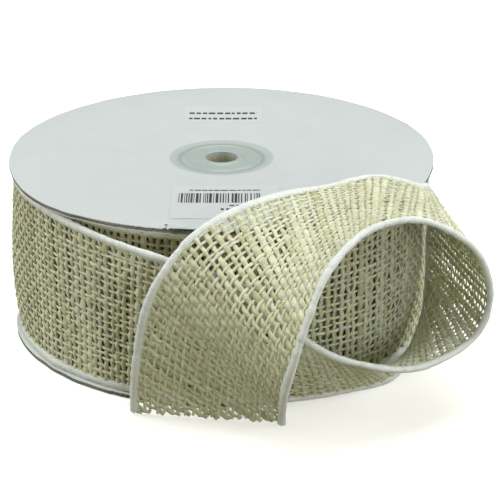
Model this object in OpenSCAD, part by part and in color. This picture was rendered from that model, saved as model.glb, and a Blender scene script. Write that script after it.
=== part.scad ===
// Flanged paper spool of wide woven ribbon with thread-bound edges.
// The spool lies flat on its bottom flange. The loose outer turn of ribbon
// leaves it at the front and loops round at the right into a free tail.
// The spool turns inside that loose turn about the Z axis.
// Drawn standing on the floor, then lowered so that the origin is the spool's middle.

/* [Ribbon] */
// Width of the ribbon over its two bound edges
ribbon_w = 63.5; // [60:0.5:66]
// Thickness of the woven cloth
cloth_t = 1.2; // [0.8:0.1:1.4]
// Diameter of the thread-bound edge
edge_d = 2.2; // [1.6:0.1:2.4]
// Diameter of the fine wire inside the bound edge of the loose ribbon
wire_d = 0.5; // [0.3:0.1:0.7]
// Radius at the middle of the loose outer turn
outer_turn_r = 77.6; // [77.5:0.1:78]
// Radius at the middle of the tight turn under it
second_turn_r = 75; // [74.5:0.1:75]

/* [Flanges] */
// Outer radius of both flanges
flange_r = 80; // [79.5:0.5:84]
// Thickness of the grey board
board_t = 1.2; // [0.8:0.1:1.6]
// Thickness of each white paper facing
paper_t = 0.25; // [0.1:0.05:0.4]
// How far the flange leans in from its rim to the dish at its middle
lean_in = 2; // [0:0.1:2.5]
// How much deeper the pressed dish at the middle goes
dish_depth = 1.4; // [0.5:0.1:2]

/* [Hub] */
// Radius of the hole for a spindle
bore_r = 6; // [5:0.25:6.5]
// Radius of the grey hub caps
cap_r = 15.5; // [14:0.25:16]
// Inside radius of the winding core
core_r = 30; // [26:1:34]
// Wall of the winding core
core_wall = 2; // [1.5:0.25:3]

/* [Labels] */
// Width of the label with bars
bar_label_w = 38; // [30:1:44]
// Height of the label with bars
bar_label_h = 36; // [28:1:38]
// Width of the small lot label
lot_label_w = 31; // [24:1:36]
// Height of the small lot label
lot_label_h = 16.5; // [12:0.5:20]
// Thickness of the label paper
label_t = 0.12; // [0.08:0.02:0.2]

/* [Hidden] */
$fn = 96;

// Heights, from the floor up
flange_t = board_t + 2 * paper_t;
edge_clear = 0.25;
ribbon_low = flange_t + edge_clear;
ribbon_high = ribbon_low + ribbon_w;
spool_h = ribbon_high + edge_clear + flange_t;

// Radii where the flange's profile bends
rim_flat_r = 70;
dish_rim_r = 21;
dish_flat_r = 16.5;
cap_gap = 0.1;

// Hub
sleeve_wall = 1.5;
skirt_wall = 1.5;
skirt_l = 8;
cap_t = 0.8;
lip_w = 2;
lip_h = 0.4;
ridge_r = 13.8;
ridge_w = 0.8;
ridge_h = 0.4;
press = 0.05;
sleeve_r = bore_r + sleeve_wall;
skirt_r = sleeve_r + press + skirt_wall;
board_hole_r = skirt_r + cap_gap;
cap_seat = lean_in + dish_depth;

// Ribbon on the spool
edge_r = edge_d / 2;
wire_gap = 0.05;
wire_tunnel_r = wire_d / 2 + wire_gap;
cloth_inset = edge_r + wire_tunnel_r + 0.15;
core_outer_r = core_r + core_wall;
roll_r = second_turn_r - edge_r;
roll_clear = 0.25;
tape_t = 0.15;
tape_h = 40;
tape_angle = 60;
loose_start = -150;
take_off = -72;

// Labels
bar_label_x = 2;
bar_label_y = -51;
lot_label_y = 47;

// Free tail
tail_steps = 4;
tail_first = 1;
edge_sides = 8;
wire_sides = 6;
near_side = 1;
far_side = -1;

// A point on the loose turn: azimuth, height, and how far it leans out
function on_turn(az, z, out = 0) =
    [(outer_turn_r + out) * cos(az), (outer_turn_r + out) * sin(az), z];

// Guide points of the tail's two edges, [near edge, far edge], chosen by hand.
// The first ones lie on the loose turn, where the ribbon starts to lean out.
// The last ones go below the floor, where the slanting end is cut off.
tail_route = [
    [on_turn(loose_start - 15, ribbon_high), on_turn(loose_start - 15, ribbon_low)],
    [on_turn(loose_start, ribbon_high), on_turn(loose_start, ribbon_low)],
    [on_turn(-136, 63, 0.5), on_turn(-136, ribbon_low)],
    [on_turn(-118, 62, 4), on_turn(-121, ribbon_low, 0.2)],
    [on_turn(-98, 60, 13), on_turn(-103, ribbon_low, 0.6)],
    [[10, -102, 56], [14, -80, 2]],
    [[30, -117, 43], [40, -73, 2]],
    [[49, -110, 31], [63, -58, 2]],
    [[68, -100, 25], [74, -38, 14]],
    [[88, -84, 28], [77, -25, 30]],
    [[94, -82, 42], [77, -22, 45]],
    [[89, -88, 60], [79, -27, 57]],
    [[77, -95, 73], [75, -33, 65]],
    [[64, -100, 79], [71, -41, 69]],
    [[51, -106, 78], [56, -42, 73]],
    [[41, -116, 74], [37, -52, 73]],
    [[34, -125, 66], [22, -64, 75]],
    [[29, -130, 54], [8, -78, 76]],
    [[25, -129, 38], [-8, -89, 71]],
    [[23, -114, 20], [-19, -96, 60]],
    [[23, -98, 6], [-25, -97, 48]],
    [[23, -92, -3], [-28, -94, 34]],
    [[23, -88, -14], [-30, -91, 20]],
    [[23, -85, -25], [-31, -86, 6]],
    [[22, -82, -38], [-31, -82, -8]]
];

function unit(v) = v / norm(v);

// Smooth curve through the guide points of one edge, side 0 near and side 1 far
function guide(i, side) =
    i >= len(tail_route)
    ? 2 * tail_route[len(tail_route) - 1][side] - tail_route[len(tail_route) - 2][side]
    : tail_route[i][side];
function smooth(a, b, c, d, t) =
    0.5 * (2 * b + (c - a) * t + (2 * a - 5 * b + 4 * c - d) * t * t
        + (3 * b - a - 3 * c + d) * t * t * t);
function edge_at(i, t, side) =
    smooth(guide(i - 1, side), guide(i, side), guide(i + 1, side), guide(i + 2, side), t);

near_line = [
    for (i = [tail_first : len(tail_route) - 2], k = [0 : tail_steps - 1])
        edge_at(i, k / tail_steps, 0)
];
far_line = [
    for (i = [tail_first : len(tail_route) - 2], k = [0 : tail_steps - 1])
        edge_at(i, k / tail_steps, 1)
];
middle_line = (near_line + far_line) / 2;
rings = len(near_line);

function along(line, i) = unit(line[min(i + 1, rings - 1)] - line[max(i - 1, 0)]);
function across(i) = unit(near_line[i] - far_line[i]);

// Four corners of the cloth's section at one station
function cloth_ring(i) =
    let (
        w = across(i),
        n = unit(cross(w, along(middle_line, i))),
        half = norm(near_line[i] - far_line[i]) / 2 - cloth_inset,
        c = middle_line[i]
    )
    [
        c + half * w + cloth_t / 2 * n,
        c + half * w - cloth_t / 2 * n,
        c - half * w - cloth_t / 2 * n,
        c - half * w + cloth_t / 2 * n
    ];

// A round section of one bound edge, side +1 near and side -1 far
function round_ring(i, side, r, sides) =
    let (
        line = side > 0 ? near_line : far_line,
        d = along(line, i),
        n = unit(cross(across(i), d)),
        w = cross(d, n),
        c = line[i] - side * edge_r * across(i)
    )
    [for (k = [0 : sides - 1]) c + r * (cos(360 * k / sides) * w - sin(360 * k / sides) * n)];

// Solid skin over a row of rings with the same number of points
module skin(sections) {
    n = len(sections[0]);
    last = len(sections) - 1;
    polyhedron(
        points = [for (s = sections) each s],
        faces = concat(
            [[for (k = [0 : n - 1]) k]],
            [[for (k = [n - 1 : -1 : 0]) last * n + k]],
            [
                for (i = [0 : last - 1], k = [0 : n - 1])
                    [i * n + k, (i + 1) * n + k, (i + 1) * n + (k + 1) % n]
            ],
            [
                for (i = [0 : last - 1], k = [0 : n - 1])
                    [i * n + k, (i + 1) * n + (k + 1) % n, i * n + (k + 1) % n]
            ]
        )
    );
}

// Everything below the floor is cut away, which leaves the tail's slanting end
module above_floor() {
    big = 400;
    difference() {
        children();
        translate([-big / 2, -big / 2, -big]) cube(big);
    }
}

module tail_cloth() {
    above_floor() skin([for (i = [0 : rings - 1]) cloth_ring(i)]);
}

// The wire's tunnel starts a little before the edge, so that it opens its end
module wire_tunnel(side) {
    line = side > 0 ? near_line : far_line;
    body = [for (i = [0 : rings - 1]) round_ring(i, side, wire_tunnel_r, wire_sides)];
    skin(concat([[for (p = body[0]) p - along(line, 0)]], body));
}

module tail_edge(side) {
    above_floor() difference() {
        skin([for (i = [0 : rings - 1]) round_ring(i, side, edge_r, edge_sides)]);
        wire_tunnel(side);
    }
}

module tail_wire(side) {
    above_floor() skin([for (i = [0 : rings - 1]) round_ring(i, side, wire_d / 2, wire_sides)]);
}

// How far a flange has moved in at radius r
function sink(r) =
    r >= rim_flat_r ? 0
    : r >= dish_rim_r ? lean_in * (rim_flat_r - r) / (rim_flat_r - dish_rim_r)
    : lean_in + dish_depth * min(1, (dish_rim_r - r) / (dish_rim_r - dish_flat_r));

// One layer of the bottom flange, between two depths below its outer face
module flange_layer(from, to) {
    bends = [flange_r, rim_flat_r, dish_rim_r, dish_flat_r, board_hole_r];
    rotate_extrude() polygon(concat(
        [for (r = bends) [r, from + sink(r)]],
        [for (i = [len(bends) - 1 : -1 : 0]) [bends[i], to + sink(bends[i])]]
    ));
}

// Turns a bottom piece over into the top one
module as_top() {
    translate([0, 0, spool_h]) mirror([0, 0, 1]) children();
}

module hub_cap() {
    difference() {
        union() {
            translate([0, 0, cap_seat - cap_t]) cylinder(r = cap_r, h = cap_t);
            translate([0, 0, cap_seat - cap_t - lip_h]) cylinder(r = bore_r + lip_w, h = lip_h + cap_t);
            translate([0, 0, cap_seat - cap_t - ridge_h]) difference() {
                cylinder(r = ridge_r + ridge_w / 2, h = ridge_h + cap_t / 2);
                translate([0, 0, -1]) cylinder(r = ridge_r - ridge_w / 2, h = ridge_h + cap_t + 2);
            }
            translate([0, 0, cap_seat - cap_t / 2]) cylinder(r = skirt_r, h = skirt_l);
        }
        translate([0, 0, -1]) cylinder(r = bore_r, h = spool_h);
        translate([0, 0, cap_seat]) cylinder(r = sleeve_r, h = spool_h);
    }
}

// A sticker laid on the top flange
module label(x, y, w, h) {
    intersection() {
        as_top() flange_layer(-label_t, 0);
        translate([x - w / 2, y - h / 2, 0]) cube([w, h, spool_h + 1]);
    }
}

// A ring with a plain rectangular section
module band(r_in, r_out, low, high) {
    translate([0, 0, low]) difference() {
        cylinder(r = r_out, h = high - low, $fn = 180);
        translate([0, 0, -1]) cylinder(r = r_in, h = high - low + 2, $fn = 180);
    }
}

// The bound edge of a turn, a ring of round section with a tunnel for its wire
module turn_edge(radius, z, from, sweep, tunnel_r) {
    rotate([0, 0, from]) rotate_extrude(angle = sweep, $fn = 180)
        translate([radius, z]) difference() {
            circle(r = edge_r, $fn = 24);
            if (tunnel_r > 0) circle(r = tunnel_r, $fn = 16);
        }
}

module turn_wire(z) {
    rotate([0, 0, take_off]) rotate_extrude(angle = 360 + loose_start - take_off, $fn = 180)
        translate([outer_turn_r, z]) circle(r = wire_d / 2, $fn = 16);
}

module start_patch(t) {
    rotate([0, 0, -tape_angle / 2]) rotate_extrude(angle = tape_angle, $fn = 180)
        translate([core_outer_r, (spool_h - tape_h) / 2]) square([t, tape_h]);
}

module centred() { translate([0, 0, -spool_h / 2]) children(); }

module bottom_flange_outer_paper() { color("whitesmoke") centred() flange_layer(0, paper_t); }
module bottom_flange_board() { color("gray") centred() flange_layer(paper_t, paper_t + board_t); }
module top_flange_board() { color("gray") centred() as_top() flange_layer(paper_t, paper_t + board_t); }
module top_flange_outer_paper() { color("whitesmoke") centred() as_top() flange_layer(0, paper_t); }
module top_hub_cap() { color("lightslategray") centred() as_top() hub_cap(); }
module bottom_hub_cap() { color("lightslategray") centred() hub_cap(); }
module bar_label() { color("white") centred() label(bar_label_x, bar_label_y, bar_label_w, bar_label_h); }
module lot_label() { color("white") centred() label(0, lot_label_y, lot_label_w, lot_label_h); }

module bottom_flange_inner_paper() {
    color("whitesmoke") centred() flange_layer(flange_t - paper_t, flange_t);
}

module top_flange_inner_paper() {
    color("whitesmoke") centred() as_top() flange_layer(flange_t - paper_t, flange_t);
}

module core_tube() {
    end = flange_t + sink(core_r);
    color("burlywood") centred() band(core_r, core_outer_r, end, spool_h - end);
}

module start_tape() { color("khaki") centred() start_patch(tape_t); }

module spindle_sleeve() {
    color("burlywood") centred() band(bore_r, sleeve_r, cap_seat, spool_h - cap_seat);
}

// The inner turns as one solid, which follows the flanges as they lean in
module wound_roll() {
    bends = [roll_r, rim_flat_r, core_outer_r];
    low = [for (r = bends) [r, flange_t + roll_clear + sink(r)]];
    high = [for (i = [2 : -1 : 0]) [bends[i], spool_h - low[i][1]]];
    color("tan") centred() difference() {
        rotate_extrude($fn = 180) polygon(concat(low, high));
        start_patch(tape_t);
    }
}

module second_turn() {
    color("wheat") centred() band(
        second_turn_r - cloth_t / 2, second_turn_r + cloth_t / 2,
        ribbon_low + cloth_inset, ribbon_high - cloth_inset
    );
}

module second_turn_top_edge() {
    color("lightgray") centred() turn_edge(second_turn_r, ribbon_high - edge_r, 0, 360, 0);
}

module second_turn_bottom_edge() {
    color("lightgray") centred() turn_edge(second_turn_r, ribbon_low + edge_r, 0, 360, 0);
}

module outer_turn() {
    color("wheat") centred() rotate([0, 0, take_off])
        rotate_extrude(angle = 360 + loose_start - take_off, $fn = 180)
        translate([outer_turn_r - cloth_t / 2, ribbon_low + cloth_inset])
        square([cloth_t, ribbon_w - 2 * cloth_inset]);
}

module outer_turn_top_edge() {
    color("white") centred() turn_edge(outer_turn_r, ribbon_high - edge_r,
        take_off, 360 + loose_start - take_off, wire_tunnel_r);
}

module outer_turn_bottom_edge() {
    color("white") centred() turn_edge(outer_turn_r, ribbon_low + edge_r,
        take_off, 360 + loose_start - take_off, wire_tunnel_r);
}

module outer_turn_top_wire() { color("silver") centred() turn_wire(ribbon_high - edge_r); }
module outer_turn_bottom_wire() { color("silver") centred() turn_wire(ribbon_low + edge_r); }
module tail() { color("wheat") centred() tail_cloth(); }
module tail_near_edge() { color("white") centred() tail_edge(near_side); }
module tail_far_edge() { color("white") centred() tail_edge(far_side); }
module tail_near_wire() { color("silver") centred() tail_wire(near_side); }
module tail_far_wire() { color("silver") centred() tail_wire(far_side); }

bottom_flange_outer_paper();
bottom_flange_board();
bottom_flange_inner_paper();
top_flange_inner_paper();
top_flange_board();
top_flange_outer_paper();
core_tube();
start_tape();
spindle_sleeve();
top_hub_cap();
bottom_hub_cap();
bar_label();
lot_label();
wound_roll();
second_turn();
second_turn_top_edge();
second_turn_bottom_edge();
outer_turn();
outer_turn_top_edge();
outer_turn_bottom_edge();
outer_turn_top_wire();
outer_turn_bottom_wire();
tail();
tail_near_edge();
tail_far_edge();
tail_near_wire();
tail_far_wire();
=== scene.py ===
"""Looks of a paper ribbon spool: woven cloth, thread-bound edges, boards and hub."""
import logging
import math
from dataclasses import dataclass, field
from enum import Enum

import bpy
import numpy as np
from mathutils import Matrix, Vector


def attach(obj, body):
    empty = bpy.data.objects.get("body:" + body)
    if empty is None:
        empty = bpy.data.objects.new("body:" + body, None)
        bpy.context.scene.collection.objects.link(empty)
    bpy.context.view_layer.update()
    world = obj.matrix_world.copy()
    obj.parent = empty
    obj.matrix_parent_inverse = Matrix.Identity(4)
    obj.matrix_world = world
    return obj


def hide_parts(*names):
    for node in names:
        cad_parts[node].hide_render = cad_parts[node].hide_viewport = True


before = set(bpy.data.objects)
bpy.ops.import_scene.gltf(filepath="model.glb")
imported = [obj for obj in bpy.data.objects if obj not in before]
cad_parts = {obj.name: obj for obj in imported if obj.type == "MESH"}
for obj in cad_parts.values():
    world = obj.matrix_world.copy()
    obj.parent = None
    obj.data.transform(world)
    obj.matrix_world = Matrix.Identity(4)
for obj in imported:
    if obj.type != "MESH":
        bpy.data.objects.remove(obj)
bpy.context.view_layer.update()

LOG = logging.getLogger("ribbon_spool")
MM = 0.001

# The spool, in millimetres and degrees; heights are from the floor, save FLOOR_Z.
SPOOL_H = 67.4
FLOOR_Z = -SPOOL_H / 2
RIBBON_LOW = 1.95
RIBBON_HIGH = 65.45
OUTER_TURN_R = 77.6
SECOND_TURN_R = 75.0
CLOTH_INSET = 1.35
TAKE_OFF = -72.0
LOOSE_START = -150.0
SETTLED = 1.8
SECOND_SETTLED = 1.2
PITCH = 2.8
YARN_CLEARANCE = 0.7
CROWN_LEAN = 0.45

Colour = tuple[float, float, float]


class Body(Enum):
    """The two bodies that the spool's hinge joins."""

    SPOOL = "spool"
    RIBBON = "ribbon"


class Side(Enum):
    """Which long edge of the ribbon; its value is the sign across the cloth."""

    NEAR = 1.0
    FAR = -1.0


# ---------------------------------------------------------------- finishes


class Graph:
    """A material's node tree, with short calls that add and join nodes."""

    def __init__(self, name: str) -> None:
        """Starts an empty material with a principled shader.

        Args:
            name: The material's name.
        """
        self.material = bpy.data.materials.new(name)
        self.material.use_nodes = True
        self.tree = self.material.node_tree
        self.shader = self.tree.nodes["Principled BSDF"]

    def add(self, kind: str, **values: object) -> bpy.types.Node:
        """Adds a node.

        Args:
            kind: The node's type name.
            values: Attributes of the node, or with a leading in_ an input's value.

        Returns:
            The new node.
        """
        node = self.tree.nodes.new(kind)
        for key, value in values.items():
            if not key.startswith("in_"):
                setattr(node, key, value)
        for key, value in values.items():
            if key.startswith("in_"):
                node.inputs[key[3:].replace("_", " ")].default_value = value
        return node

    def join(self, start: bpy.types.NodeSocket, end: bpy.types.NodeSocket) -> None:
        """Links one socket to another."""
        self.tree.links.new(start, end)

    def set(self, **values: object) -> None:
        """Sets constant values on the shader's own sockets."""
        for key, value in values.items():
            self.shader.inputs[key.replace("_", " ")].default_value = value

    def place(self, scale: tuple[float, float, float] = (1, 1, 1)) -> bpy.types.NodeSocket:
        """Gives object coordinates, stretched by scale."""
        source = self.add("ShaderNodeTexCoord")
        mapping = self.add("ShaderNodeMapping")
        mapping.inputs["Scale"].default_value = scale
        self.join(source.outputs["Object"], mapping.inputs["Vector"])
        return mapping.outputs["Vector"]

    def attribute(self, name: str, output: str = "Fac") -> bpy.types.NodeSocket:
        """Gives the value of a point attribute of the mesh."""
        return self.add("ShaderNodeAttribute", attribute_name=name).outputs[output]

    def noise(self, vector: bpy.types.NodeSocket, scale: float, detail: float = 3.0,
              rough: float = 0.55) -> bpy.types.NodeSocket:
        """Gives a noise value from 0 to 1."""
        node = self.add("ShaderNodeTexNoise", in_Scale=scale, in_Detail=detail, in_Roughness=rough)
        self.join(vector, node.inputs["Vector"])
        return node.outputs["Fac"]

    def length(self, vector: bpy.types.NodeSocket) -> bpy.types.NodeSocket:
        """Gives a vector's length."""
        node = self.add("ShaderNodeVectorMath", operation="LENGTH")
        self.join(vector, node.inputs[0])
        return node.outputs["Value"]

    def ramp(self, value: bpy.types.NodeSocket,
             stops: list[tuple[float, Colour]]) -> bpy.types.NodeSocket:
        """Turns a value into a colour.

        Args:
            value: The socket that drives it.
            stops: Positions and their colours.

        Returns:
            The colour socket.
        """
        node = self.add("ShaderNodeValToRGB")
        elements = node.color_ramp.elements
        while len(elements) < len(stops):
            elements.new(0.5)
        for element, (position, colour) in zip(elements, stops):
            element.position = position
            element.color = (*colour, 1.0)
        self.join(value, node.inputs["Fac"])
        return node.outputs["Color"]

    def math(self, how: str, a: bpy.types.NodeSocket, b: bpy.types.NodeSocket | float,
             clamp: bool = False) -> bpy.types.NodeSocket:
        """Joins two values, or a value and a number."""
        node = self.add("ShaderNodeMath", operation=how, use_clamp=clamp)
        self.join(a, node.inputs[0])
        if isinstance(b, (int, float)):
            node.inputs[1].default_value = b
        else:
            self.join(b, node.inputs[1])
        return node.outputs[0]

    def mix(self, share: bpy.types.NodeSocket, a: bpy.types.NodeSocket,
            b: bpy.types.NodeSocket) -> bpy.types.NodeSocket:
        """Mixes two colours by a share from 0, all a, to 1, all b."""
        node = self.add("ShaderNodeMix", data_type="RGBA")
        self.join(share, node.inputs[0])
        self.join(a, node.inputs[6])
        self.join(b, node.inputs[7])
        return node.outputs[2]

    def bump(self, height: bpy.types.NodeSocket, distance: float, strength: float = 1.0) -> None:
        """Raises the surface by height times distance, in metres."""
        node = self.add("ShaderNodeBump", in_Distance=distance, in_Strength=strength)
        self.join(height, node.inputs["Height"])
        self.join(node.outputs["Normal"], self.shader.inputs["Normal"])

    def colour(self, socket: bpy.types.NodeSocket) -> None:
        """Sets the shader's base colour."""
        self.join(socket, self.shader.inputs["Base Color"])


@dataclass(frozen=True)
class YarnFinish:
    """Spun jute: fine twisted fibres, pale on the crests and straw in the depths, through painted
    highlight and painted shade carried by the yarn's tone.
    """

    name: str = "jute_yarn"
    deep: Colour = (0.22, 0.205, 0.075)
    straw: Colour = (0.54, 0.55, 0.345)
    pale: Colour = (0.87, 0.895, 0.70)

    def make(self) -> bpy.types.Material:
        """Builds the material from the yarn's tone and strand attributes."""
        g = Graph(self.name)
        strand = g.attribute("strand", "Vector")
        fibres = g.noise(strand, 2.6, 4.0, 0.65)
        tone = g.attribute("tone")
        mixed = g.math("ADD", g.math("MULTIPLY", fibres, 0.55), g.math("MULTIPLY", tone, 0.72))
        # The tone carries random variation plus painted highlight where the yarns ride over and
        # painted shade where they dip.
        g.colour(g.ramp(mixed, [(0.22, self.deep), (0.52, self.straw), (0.84, self.pale)]))
        g.set(Roughness=0.95, Sheen_Weight=0.35, Sheen_Roughness=0.6, Specular_IOR_Level=0.12,
              Subsurface_Weight=0.45, Subsurface_Radius=(1.0, 0.80, 0.26), Subsurface_Scale=0.0009)
        g.bump(fibres, 0.0003, 1.0)
        return g.material


@dataclass(frozen=True)
class ThreadFinish:
    """White sewing thread wrapped closely round the ribbon's edge."""

    name: str = "edge_thread_white"
    shade: Colour = (0.50, 0.54, 0.53)
    white: Colour = (0.82, 0.87, 0.87)

    def make(self) -> bpy.types.Material:
        """Builds the material from the wrap's tone and strand attributes."""
        g = Graph(self.name)
        strand = g.attribute("strand", "Vector")
        fuzz = g.noise(strand, 1.6, 3.0, 0.6)
        tone = g.attribute("tone")
        mixed = g.math("ADD", g.math("MULTIPLY", fuzz, 0.35), g.math("MULTIPLY", tone, 0.8))
        g.colour(g.ramp(mixed, [(0.2, self.shade), (0.75, self.white)]))
        g.set(Roughness=0.7, Sheen_Weight=0.2, Specular_IOR_Level=0.35)
        g.bump(fuzz, 0.00012, 0.7)
        return g.material


@dataclass(frozen=True)
class PaperFinish:
    """Smooth white laminated paper, with faint mottling and a soft gloss.

    Attributes:
        dish: Radius inside which the paper gets painted shade, standing in for the shade of the
            dish pressed round the hub, in metres; 0 for none.
        dish_shade_over: How far in from there the painted shade deepens, in metres.
    """

    name: str = "white_paper"
    white: Colour = (0.605, 0.655, 0.70)
    shade: Colour = (0.58, 0.63, 0.67)
    rough: float = 0.42
    dish: float = 0.0
    dish_shade_over: float = 0.0045
    # Painted shade: the grey-blue that stands in for the shade inside the pressed dish round the
    # hub.
    dish_shade: Colour = (0.30, 0.365, 0.38)

    def make(self) -> bpy.types.Material:
        """Builds the material."""
        g = Graph(self.name)
        at = g.place()
        mottle = g.noise(at, 60.0, 4.0, 0.6)
        grain = g.noise(at, 900.0, 2.0, 0.5)
        plain = g.ramp(mottle, [(0.3, self.shade), (0.7, self.white)])
        # Painted shade: inside the dish the paper's colour is mixed towards the darker grey-blue.
        if self.dish > 0:
            plain = g.mix(self._dish_shade_share(g), plain, g.ramp(mottle, [
                (0.3, self.dish_shade), (0.7, tuple(c * 1.06 for c in self.dish_shade))]))
        g.colour(plain)
        g.set(Roughness=self.rough, Specular_IOR_Level=0.4, Coat_Weight=0.08, Coat_Roughness=0.35)
        height = g.math("ADD", g.math("MULTIPLY", mottle, 0.6), g.math("MULTIPLY", grain, 0.25))
        g.bump(height, 0.0001, 0.35)
        return g.material

    def _dish_shade_share(self, g: Graph) -> bpy.types.NodeSocket:
        """Share of painted shade in the dish: a clear step at the dish's rim, then deeper near the
        hub.
        """
        radius = g.length(g.place((1.0, 1.0, 0.0)))
        near = g.math("MULTIPLY", g.math("SUBTRACT", radius, self.dish), -1 / self.dish_shade_over,
                      clamp=True)
        steps = [(0.0, 0.0), (0.08, 0.42), (0.6, 0.55), (0.95, 1.0)]
        return g.ramp(near, [(place, (share,) * 3) for place, share in steps])


@dataclass(frozen=True)
class BoardFinish:
    """Grey recycled board: pressed plies seen on its cut edge, with specks."""

    name: str = "grey_board"
    dark: Colour = (0.10, 0.10, 0.08)
    light: Colour = (0.36, 0.36, 0.31)
    plies: float = 2600.0

    def make(self) -> bpy.types.Material:
        """Builds the material, with its plies stacked along the spool's axis."""
        g = Graph(self.name)
        layers = g.noise(g.place((60.0, 60.0, self.plies)), 1.0, 3.0, 0.6)
        specks = g.noise(g.place(), 1400.0, 2.0, 0.5)
        mixed = g.math("ADD", g.math("MULTIPLY", layers, 0.75), g.math("MULTIPLY", specks, 0.3))
        g.colour(g.ramp(mixed, [(0.36, self.dark), (0.72, self.light)]))
        g.set(Roughness=0.9, Specular_IOR_Level=0.2)
        g.bump(mixed, 0.0003, 0.8)
        return g.material


@dataclass(frozen=True)
class KraftFinish:
    """Brown kraft tube wound from strips."""

    name: str = "kraft_tube"
    dark: Colour = (0.38, 0.38, 0.27)
    light: Colour = (0.56, 0.56, 0.43)

    def make(self) -> bpy.types.Material:
        """Builds the material."""
        g = Graph(self.name)
        fibre = g.noise(g.place((1.0, 1.0, 0.25)), 500.0, 4.0, 0.65)
        g.colour(g.ramp(fibre, [(0.3, self.dark), (0.7, self.light)]))
        g.set(Roughness=0.8, Specular_IOR_Level=0.25)
        g.bump(fibre, 0.0002, 0.6)
        return g.material


@dataclass(frozen=True)
class HubFinish:
    """Grey moulded plastic with a fine satin grain."""

    name: str = "hub_plastic"
    dark: Colour = (0.37, 0.44, 0.445)
    light: Colour = (0.425, 0.495, 0.505)

    def make(self) -> bpy.types.Material:
        """Builds the material."""
        g = Graph(self.name)
        at = g.place()
        cloud = g.noise(at, 110.0, 3.0, 0.5)
        grain = g.noise(at, 2200.0, 2.0, 0.5)
        g.colour(g.ramp(cloud, [(0.3, self.dark), (0.7, self.light)]))
        g.set(Roughness=0.36, Specular_IOR_Level=0.5, Subsurface_Weight=0.05,
              Subsurface_Scale=0.002)
        g.bump(grain, 0.00006, 0.4)
        return g.material


@dataclass(frozen=True)
class InkFinish:
    """Printed ink, slightly worn."""

    name: str = "label_ink"
    solid: Colour = (0.02, 0.02, 0.025)
    worn: Colour = (0.16, 0.16, 0.17)

    def make(self) -> bpy.types.Material:
        """Builds the material."""
        g = Graph(self.name)
        wear = g.noise(g.place(), 2500.0, 3.0, 0.6)
        g.colour(g.ramp(wear, [(0.5, self.solid), (0.75, self.worn)]))
        g.set(Roughness=0.5)
        return g.material


@dataclass(frozen=True)
class RollFinish:
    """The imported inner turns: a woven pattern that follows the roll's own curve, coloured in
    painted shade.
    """

    name: str = "wound_cloth"
    # Painted shade: near black in the holes between yarns and a straw darker than the loose
    # cloth's, for the roll that sits in shade.
    gap: Colour = (0.05, 0.04, 0.015)
    straw: Colour = (0.36, 0.31, 0.17)
    radius: float = 0.0739
    pitch: float = 0.0028

    def make(self) -> bpy.types.Material:
        """Builds the material from the angle round the axis and the height."""
        g = Graph(self.name)
        source = g.add("ShaderNodeTexCoord")
        split = g.add("ShaderNodeSeparateXYZ")
        g.join(source.outputs["Object"], split.inputs[0])
        angle = g.math("ARCTAN2", split.outputs[1], split.outputs[0])
        around = g.math("MULTIPLY", angle, self.radius * math.pi / self.pitch)
        up = g.math("MULTIPLY", split.outputs[2], math.pi / self.pitch)
        wobble = g.noise(source.outputs["Object"], 260.0, 3.0, 0.6)
        shift = g.math("MULTIPLY", wobble, 2.6)
        weft = g.math("ABSOLUTE", g.math("SINE", g.math("ADD", around, shift), 0.0), 0.0)
        warp = g.math("ABSOLUTE", g.math("SINE", g.math("ADD", up, shift), 0.0), 0.0)
        cloth = g.math("MAXIMUM", weft, g.math("MULTIPLY", warp, 0.85))
        fine = g.noise(source.outputs["Object"], 1500.0, 3.0, 0.6)
        height = g.math("ADD", cloth, g.math("MULTIPLY", fine, 0.25))
        # Painted shade: the lower the weave's height, the darker the colour, down to the near black
        # of the holes.
        g.colour(g.ramp(height, [(0.62, self.gap), (1.05, self.straw)]))
        g.set(Roughness=0.9, Specular_IOR_Level=0.2)
        g.bump(height, 0.0006, 0.9)
        return g.material


@dataclass(frozen=True)
class WireFinish:
    """Bright drawn wire, with fine marks from the die along its length."""

    name: str = "edge_wire"

    def make(self) -> bpy.types.Material:
        """Builds the material."""
        g = Graph(self.name)
        marks = g.noise(g.place(), 1800.0, 3.0, 0.6)
        g.colour(g.ramp(marks, [(0.3, (0.45, 0.45, 0.46)), (0.7, (0.66, 0.66, 0.67))]))
        g.set(Metallic=1.0, Roughness=0.3)
        g.bump(marks, 0.00003, 0.5)
        return g.material


@dataclass(frozen=True)
class FloorFinish:
    """Plain white studio sweep that glows a little."""

    name: str = "studio_floor"
    glow: float = 0.46

    def make(self) -> bpy.types.Material:
        """Builds the material."""
        g = Graph(self.name)
        g.set(Base_Color=(0.97, 0.97, 0.97, 1.0), Roughness=0.9, Specular_IOR_Level=0.1,
              Emission_Color=(1.0, 1.0, 1.0, 1.0), Emission_Strength=self.glow)
        return g.material


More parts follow.
